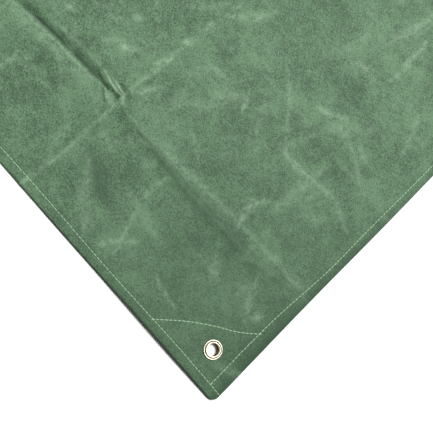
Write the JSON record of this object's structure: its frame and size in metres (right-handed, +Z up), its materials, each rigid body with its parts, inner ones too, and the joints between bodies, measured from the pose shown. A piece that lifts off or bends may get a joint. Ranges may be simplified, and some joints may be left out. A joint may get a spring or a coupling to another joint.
{
  "type": "waxed canvas tarp",
  "caption": "Small square tarp of green waxed canvas, hemmed all round, with a patched metal eyelet at each corner, lying open with its fold creases.",
  "frame": {"origin": "under the middle of the tarp, on the surface it lies on", "axes": "+X along the longer finished side, +Y along the shorter one, +Z up out of the surface; the corner at +X and -Y has the raised edge"},
  "size_m": [0.91, 0.9, 0.0071],
  "materials": {
    "waxed_canvas": "plain-weave cotton duck, waxed, with mottled low sheen",
    "patch_canvas": "same canvas, under the corner",
    "eyelet_metal": "bright nickelled brass"
  },
  "bodies": {
    "root": {"cloth": "waxed_canvas", "corner_patch_1": "patch_canvas", "corner_patch_2": "patch_canvas", "corner_patch_3": "patch_canvas", "corner_patch_4": "patch_canvas", "eyelet_1": "eyelet_metal", "eyelet_2": "eyelet_metal", "eyelet_3": "eyelet_metal", "eyelet_4": "eyelet_metal", "washer_1": "eyelet_metal", "washer_2": "eyelet_metal", "washer_3": "eyelet_metal", "washer_4": "eyelet_metal"}
  },
  "joints": []
}
